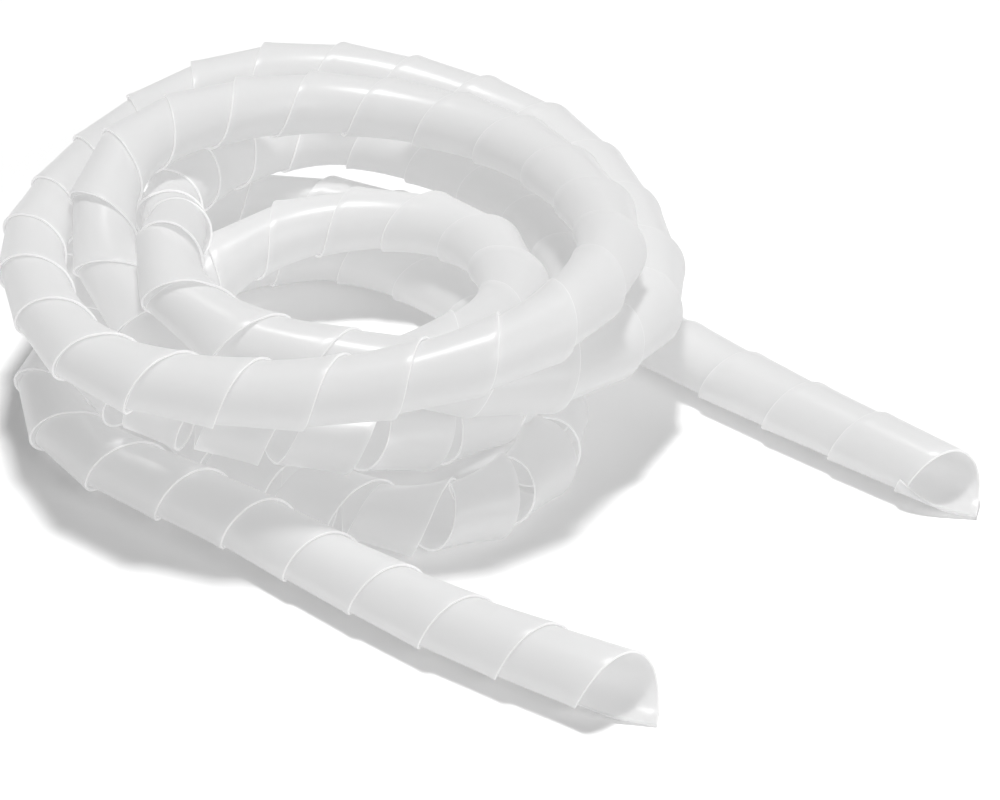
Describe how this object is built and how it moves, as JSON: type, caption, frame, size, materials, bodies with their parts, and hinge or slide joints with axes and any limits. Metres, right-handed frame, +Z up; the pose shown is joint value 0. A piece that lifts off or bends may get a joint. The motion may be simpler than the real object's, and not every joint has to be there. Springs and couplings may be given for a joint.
{
  "type": "tree guard tube",
  "caption": "Flexible translucent tube slit along a helix, wound round young stems to guard the bark; lying in a loose coil with straight tails.",
  "frame": {"origin": "on the floor, under the middle of the whole part's box", "axes": "+X to the right, the way both tails run out; +Y away from the viewer, to the back of the coil; +Z up"},
  "size_m": [0.3448, 0.326, 0.0879],
  "materials": {
    "polyethylene": "satin, milky translucent"
  },
  "bodies": {
    "coil_pile": {"first_turn": "polyethylene", "second_turn": "polyethylene", "return_turn": "polyethylene", "floor_turn": "polyethylene"},
    "top_turns": {"outer_top_turn": "polyethylene", "inner_top_turn": "polyethylene"},
    "far_tail_body": {"far_tail": "polyethylene"},
    "far_lead_body": {"far_lead": "polyethylene"},
    "near_tail_body": {"near_tail": "polyethylene"},
    "near_lead_body": {"near_lead": "polyethylene"}
  },
  "joints": [
    {"name": "top_lift", "type": "slide", "parent": "coil_pile", "child": "top_turns", "axis": [0, 0, 1], "range_m": [0, 0.02]},
    {"name": "far_swing", "type": "hinge", "parent": "coil_pile", "child": "far_tail_body", "pos_m": [0.10271, 0.02953, 0.0122], "axis": [0, 0, 1], "range_deg": [0, 25]},
    {"name": "far_peel", "type": "hinge", "parent": "far_tail_body", "child": "far_lead_body", "pos_m": [0.15012, -0.02981, 0.0242], "axis": [0.7398, -0.6728, 0], "range_deg": [0, 45]},
    {"name": "near_swing", "type": "hinge", "parent": "coil_pile", "child": "near_tail_body", "pos_m": [-0.02391, -0.12015, 0.0122], "axis": [0, 0, -1], "range_deg": [0, 25]},
    {"name": "near_peel", "type": "hinge", "parent": "near_tail_body", "child": "near_lead_body", "pos_m": [0.03104, -0.14225, 0.0242], "axis": [0.833, -0.5533, 0], "range_deg": [0, 45]}
  ]
}
